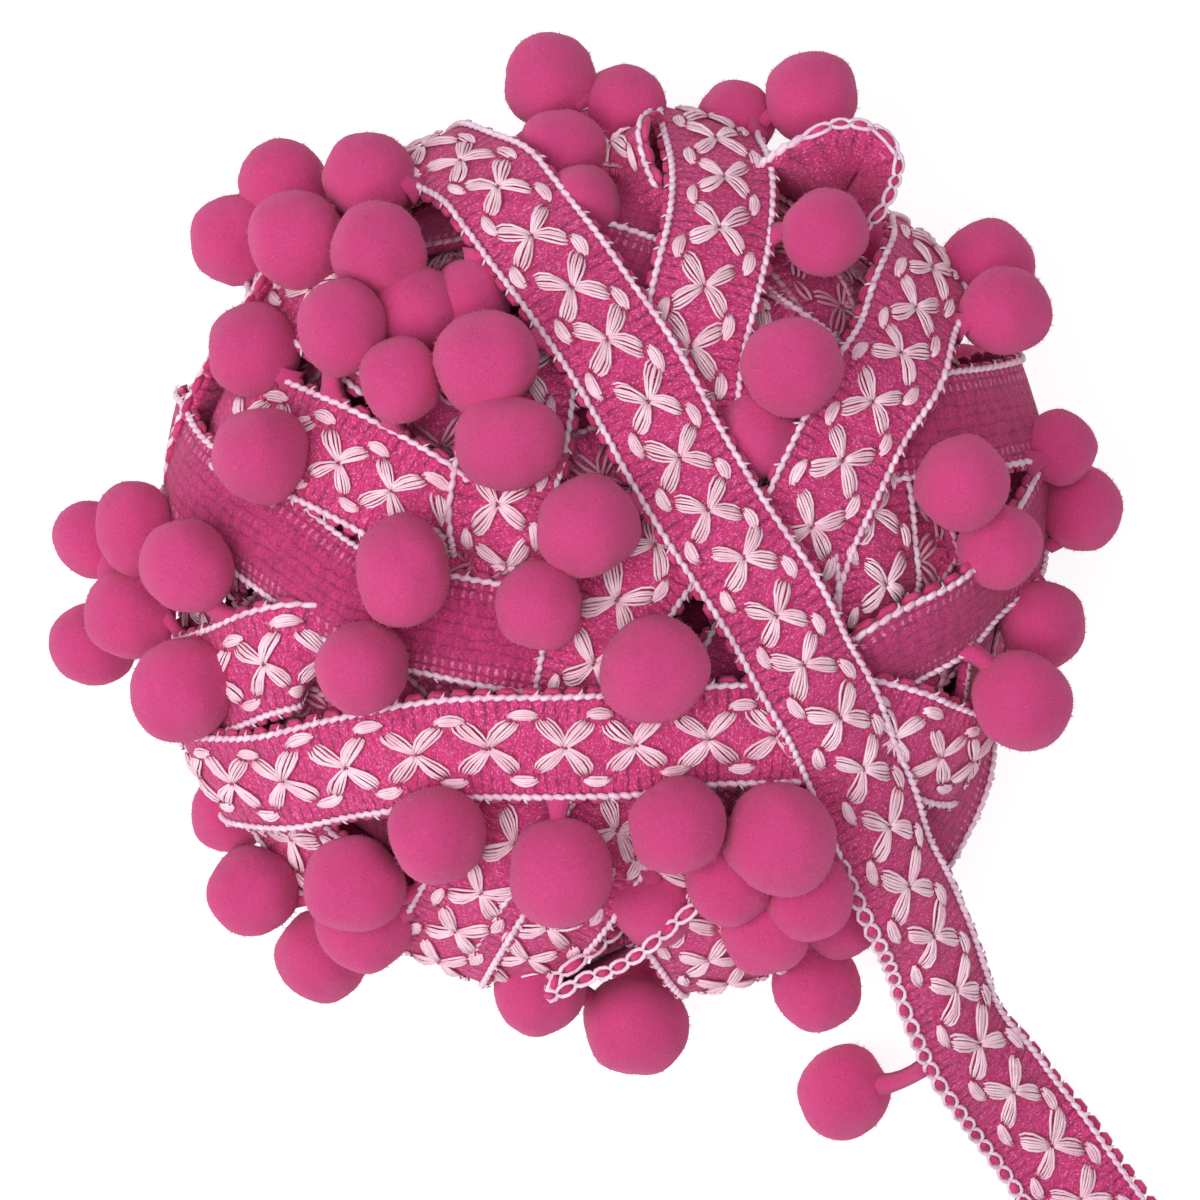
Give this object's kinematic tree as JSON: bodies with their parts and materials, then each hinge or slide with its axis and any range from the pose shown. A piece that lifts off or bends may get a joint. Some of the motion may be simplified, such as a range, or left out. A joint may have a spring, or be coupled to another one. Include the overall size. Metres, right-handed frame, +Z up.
{
  "type": "pompom fringe trim",
  "caption": "Woven ribbon trim with felt pompoms along one edge, wound into a loose flattened ball with one end running free.",
  "frame": {"origin": "middle of the flat spot on which the wound ball lies", "axes": "+Z up from the surface, +X and +Y level; the free end runs towards +X and -Y"},
  "size_m": [0.1798, 0.2043, 0.0803],
  "materials": {
    "ribbon": "matte",
    "pompom_felt": "matte",
    "floss": "satin"
  },
  "bodies": {
    "root": {"wound_ball": "ribbon", "running_end": "ribbon", "pompoms_outer_turn": "pompom_felt", "pompoms_front_turn": "pompom_felt", "pompoms_back_upright": "pompom_felt", "pompoms_back_hidden": "pompom_felt", "pompoms_right_turn": "pompom_felt", "pompoms_right_rim": "pompom_felt", "pompoms_upper_left": "pompom_felt", "pompoms_upper_left_inner": "pompom_felt", "pompoms_upper_left_rim": "pompom_felt", "pompoms_middle": "pompom_felt", "pompoms_left_upper": "pompom_felt", "pompoms_left_middle": "pompom_felt", "pompoms_left_lower": "pompom_felt", "pompoms_bottom_left": "pompom_felt", "pompoms_bottom_rim": "pompom_felt", "pompoms_bottom_upper": "pompom_felt", "pompoms_under_north": "pompom_felt", "pompoms_under_west": "pompom_felt", "pompoms_under_south": "pompom_felt", "pompoms_under_east": "pompom_felt", "pompoms_running_end": "pompom_felt"}
  },
  "joints": []
}
